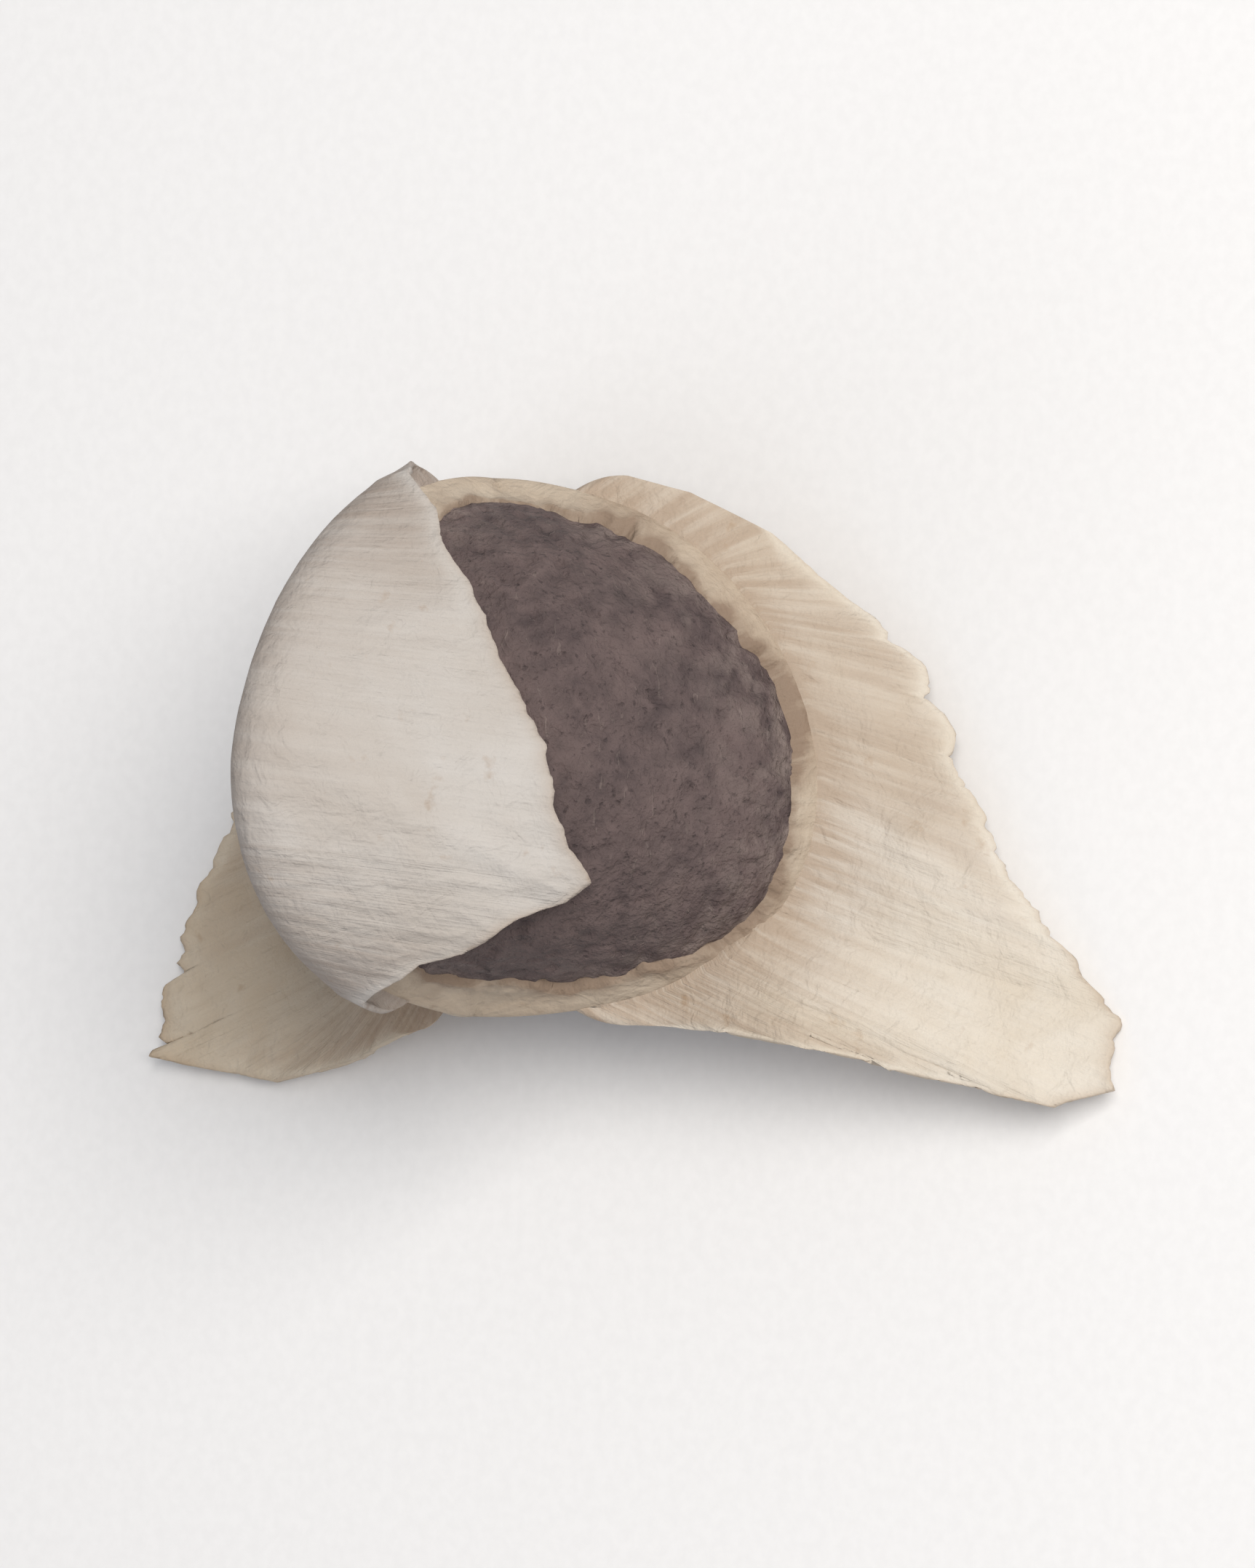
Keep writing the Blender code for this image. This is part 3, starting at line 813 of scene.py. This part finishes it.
def dry_seed_hull():
    material, tree = start_material("dry_woody_seed_hull")
    where = in_millimetres(tree)
    mark = add_node(tree, "Attribute", attribute_name=MARK, attribute_type="GEOMETRY")
    fuzz = add_node(tree, "SeparateXYZ", {0: mark.outputs["Vector"]}).outputs["Z"]
    broad = pattern(tree, where, size=1.3, detail=4.0, distortion=0.4)
    mottle = pattern(tree, where, size=0.4)
    speck = pattern(tree, where, size=0.16, low=0.6, high=0.72)
    thread = pattern(tree, where, size=(1.1, 0.2, 0.2), low=0.62, high=0.72, distortion=1.5)
    patchy = pattern(tree, where, size=0.55, low=0.42, high=0.62, detail=4.0)
    grain = pattern(tree, where, size=0.12, detail=2.0)
    colour = blend(tree, broad, HULL_DARK, HULL_BROWN)
    colour = blend(tree, mottle, colour, HULL_PALE, strength=0.45)
    colour = blend(tree, speck, colour, HULL_SPECK, strength=0.55)
    colour = blend(tree, thread, colour, HULL_FUZZ, strength=0.22)
    near_keel = add_node(tree, "Math", {0: fuzz, 1: patchy}, operation="MULTIPLY").outputs[0]
    colour = blend(tree, near_keel, colour, HULL_FUZZ, strength=0.9)
    rough = add_node(tree, "MapRange", {"Value": mottle, "To Min": HULL_ROUGHNESS[0],
                                        "To Max": HULL_ROUGHNESS[1]}).outputs["Result"]
    relief = summed(tree, (grain, 0.7), (mottle, 0.5), (thread, 0.35), (speck, -0.5))
    bump = add_node(tree, "Bump", {"Strength": 0.9, "Distance": HULL_RELIEF, "Height": relief})
    skin = add_node(tree, "BsdfPrincipled", {"Base Color": colour, "Roughness": rough, "IOR": DRY_TISSUE_IOR,
                                             "Specular IOR Level": 0.35, "Normal": bump.outputs["Normal"]})
    add_node(tree, "OutputMaterial", {"Surface": skin.outputs[0]})
    return material


hull_finish = dry_seed_hull()
print(hull_finish.name, "is worked out by", len(hull_finish.node_tree.nodes), "nodes")

# %% [markdown]
# The wings' finish: dry, papery tissue
# The wings are layers of empty cells, like thin handmade paper. They scatter light instead of reflecting it,
# and part of it passes through, which gives the eye a soft, warm glow where light comes from behind. Fine
# fibres run out from the root. The tissue is tan and spongy near the hull, cream on the sheet, and has a few
# ochre spots. Real fibres are some 0.05 mm thick, so they are drawn at 0.13 mm, as coarse as they need to
# show. A translucent shader is mixed in for the light that passes, and the paper is the same on both faces.
# One function makes the finish of each wing in a tone of its own, and that of the base, which is brownest.
# The upper wing's colours are darker and greyer than the others': that is painted shade over the same cream
# tissue.

# %% Dry paper
PAPER_ROUGHNESS = (0.58, 0.78)
GLOW = 0.3
PAPER_RELIEF = 0.03 * MM
WHITE = "ffffff"


def dry_papery_tissue(name, clean, warm, tan, spot):
    """Papery tissue from its clean colour and the colours of its clouds, its root and its spots."""
    material, tree = start_material(name)
    where = in_millimetres(tree)
    mark = add_node(tree, "Attribute", attribute_name=MARK, attribute_type="GEOMETRY").outputs["Vector"]
    stain = add_node(tree, "SeparateXYZ", {0: mark}).outputs["Z"]
    cloud = pattern(tree, where, size=3.5, distortion=0.5)
    fibre = pattern(tree, mark, size=(0.13, 1.9, 1.0), distortion=0.3)
    coarse = pattern(tree, mark, size=(0.34, 4.5, 1.0), detail=4.0, distortion=0.2)
    tooth = pattern(tree, where, size=0.14, detail=2.0)
    crumple = pattern(tree, where, size=0.55, distortion=0.8)
    spots = pattern(tree, where, size=0.7, low=0.66, high=0.76, detail=4.0)
    root = add_node(tree, "Math", {0: stain, 1: coarse, 2: stain}, operation="MULTIPLY_ADD")
    root = add_node(tree, "MapRange", {"Value": root.outputs[0], "From Min": 0.05, "From Max": 1.3})
    rim = add_node(tree, "MapRange", {"Value": stain, "From Min": -0.15, "From Max": -0.9})
    colour = blend(tree, cloud, clean, warm, strength=0.75)
    colour = blend(tree, coarse, colour, warm, strength=0.12)
    colour = blend(tree, fibre, colour, WHITE, kind="SOFT_LIGHT", strength=0.1)
    colour = blend(tree, root.outputs["Result"], colour, tan, strength=0.8)
    colour = blend(tree, spots, colour, spot, strength=0.35)
    colour = blend(tree, rim.outputs["Result"], colour, spot, strength=0.3)
    rough = add_node(tree, "MapRange", {"Value": fibre, "To Min": PAPER_ROUGHNESS[0],
                                        "To Max": PAPER_ROUGHNESS[1]}).outputs["Result"]
    relief = summed(tree, (fibre, 0.3), (coarse, 0.25), (tooth, 0.35), (crumple, 1.0))
    bump = add_node(tree, "Bump", {"Strength": 0.9, "Distance": PAPER_RELIEF, "Height": relief})
    face = add_node(tree, "BsdfPrincipled", {"Base Color": colour, "Roughness": rough, "IOR": DRY_TISSUE_IOR,
                                             "Specular IOR Level": 0.3, "Normal": bump.outputs["Normal"]})
    through = add_node(tree, "BsdfTranslucent", {"Color": colour, "Normal": bump.outputs["Normal"]})
    sheet = add_node(tree, "MixShader", {0: GLOW, 1: face.outputs[0], 2: through.outputs[0]})
    add_node(tree, "OutputMaterial", {"Surface": sheet.outputs[0]})
    return material


front_finish = dry_papery_tissue("dry_cream_tissue", "e9e2d7", "dccfbc", "b8a28d", "a8835a")
# The upper wing is the same cream tissue as the front wing. Its colours are made darker and greyer as
# painted shade.
upper_painted_shade_finish = dry_papery_tissue("dry_tissue_painted_shade", "d2cdc8", "c5bcb3", "a59589", "a48463")
rear_finish = dry_papery_tissue("dry_warm_tissue", "e4d9c8", "d5c3aa", "b0967f", "a47f55")
base_finish = dry_papery_tissue("dry_spongy_tissue", "dccdb9", "c9b49d", "8f7765", "846549")
print(base_finish.name, "is worked out by", len(base_finish.node_tree.nodes), "nodes")

# %% [markdown]
# What each piece stands for
# Every piece rides on the seed's one body, takes the place of a solid of the construction, and gets its
# finish. The wings and the base of the coat grow as one, so they all stand for the same solid.

# %% Dress the solids
DRESSING = (
    (hull_skin, hull_finish, "seed_hull"),
    (coat_base, base_finish, "papery_wings"),
    (front_wing, front_finish, "papery_wings"),
    (upper_wing, upper_painted_shade_finish, "papery_wings"),
    (rear_wing, rear_finish, "papery_wings"),
)
for piece, finish, node_name in DRESSING:
    piece.data.materials.append(finish)
    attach(piece, "root")
    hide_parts(node_name)
    print(piece.name, "stands for", node_name)

# %% [markdown]
# Floor and light
# The seed lies on plain, pale card. Light in a studio for small things is soft: one wide lamp above the
# front, a weak one behind, and a pale room. The wide lamp stands a little towards the top pole, so the
# raised facet of the front wing faces it and shows brightest. Blender's default view would wash the pale
# tissue out, so the Standard view is used, where a colour of the scene is the colour of the picture.

# %% Set the stage
FLOOR_SIZE = 600 * MM
LAMP_DISTANCE = 300 * MM


def pale_card():
    material, tree = start_material("pale_card")
    tooth = pattern(tree, in_millimetres(tree), size=0.3)
    colour = blend(tree, tooth, "ebeaea", "eeeded")
    surface = add_node(tree, "BsdfPrincipled", {"Base Color": colour, "Roughness": 0.9})
    add_node(tree, "OutputMaterial", {"Surface": surface.outputs[0]})
    return material


def make_floor():
    bpy.ops.mesh.primitive_plane_add(size=FLOOR_SIZE, location=(0, 0, 0))
    floor = bpy.context.object
    floor.name = "floor"
    floor.data.materials.append(pale_card())
    return floor


def add_lamp(name, direction, size, power, colour):
    """A square lamp that shines on the seed from a direction."""
    light = bpy.data.lights.new(name, "AREA")
    light.size, light.energy, light.color = size, power, linear(colour)[:3]
    lamp = bpy.data.objects.new(name, light)
    lamp.location = Vector(direction).normalized() * LAMP_DISTANCE
    lamp.rotation_euler = Vector(direction).to_track_quat("Z", "Y").to_euler()
    bpy.context.scene.collection.objects.link(lamp)


def pale_room(colour, strength):
    world = bpy.data.worlds.new("pale_room")
    world.use_nodes = True
    background = world.node_tree.nodes["Background"]
    background.inputs["Color"].default_value = linear(colour)
    background.inputs["Strength"].default_value = strength
    bpy.context.scene.world = world


make_floor()
add_lamp("wide_lamp", direction=(0.22, -0.6, 0.76), size=150 * MM, power=0.87, colour="fffcf7")
add_lamp("back_lamp", direction=(-0.5, 0.7, 0.5), size=200 * MM, power=0.08, colour="f2f5ff")
pale_room(colour="f2f4f8", strength=0.42)
bpy.context.scene.view_settings.view_transform = "Standard"
print("lamps stand", round(LAMP_DISTANCE / MM), "mm away")

# %% [markdown]
# The camera
# We look at the front face from 58 degrees above the floor, with the camera rolled by a quarter turn, so
# that the seed's axis stands upright in the picture and its top pole is up. A long lens from over a third of
# a metre keeps the two poles the same size. The middle of the view is worked out from the pieces: it is the
# middle of what they span across, up and through the picture. In an upright picture Blender lays the width
# of the sensor along the height, so the distance is worked out from the height of the view.

# %% Place the camera
VIEW_ELEVATION = math.radians(58.0)
LENS = 400.0
SENSOR = 36.0
PICTURE_WIDTH, PICTURE_HEIGHT = 1725, 2156
SEED_SHARE = 0.78

backward = Vector((0.0, -math.cos(VIEW_ELEVATION), math.sin(VIEW_ELEVATION)))
rightward = Vector((0.0, -math.sin(VIEW_ELEVATION), -math.cos(VIEW_ELEVATION)))
upward = Vector((1.0, 0.0, 0.0))
VIEW_AXES = (rightward, upward, backward)


def make_camera(pieces):
    """A camera with all the pieces in the middle of its view, as wide as their share of the picture."""
    corners = np.concatenate([np.array([vertex.co for vertex in piece.data.vertices]) for piece in pieces])
    spans = []
    for direction in VIEW_AXES:
        reach = corners @ np.array(direction)
        spans.append((reach.min(), reach.max()))
    centre = sum((axis * (low + high) / 2 for axis, (low, high) in zip(VIEW_AXES, spans)), Vector())
    seen_width = spans[0][1] - spans[0][0]
    view_height = seen_width / SEED_SHARE * PICTURE_HEIGHT / PICTURE_WIDTH
    distance = view_height * LENS / SENSOR
    data = bpy.data.cameras.new("camera")
    data.lens, data.sensor_width = LENS, SENSOR
    data.clip_start, data.clip_end = distance / 10, distance * 10
    camera = bpy.data.objects.new("camera", data)
    turn = Matrix(VIEW_AXES).transposed().to_4x4()
    camera.matrix_world = Matrix.Translation(centre + backward * distance) @ turn
    bpy.context.scene.collection.objects.link(camera)
    print("the seed is", round(seen_width / MM, 1), "mm wide in the picture, from", round(distance, 3), "m")
    return camera


bpy.context.scene.camera = make_camera([piece for piece, _, _ in DRESSING])

# %% [markdown]
# Bring the scene up to date
# A finer skin must not make the seed bigger.

# %% Bring the scene up to date
bpy.context.view_layer.update()
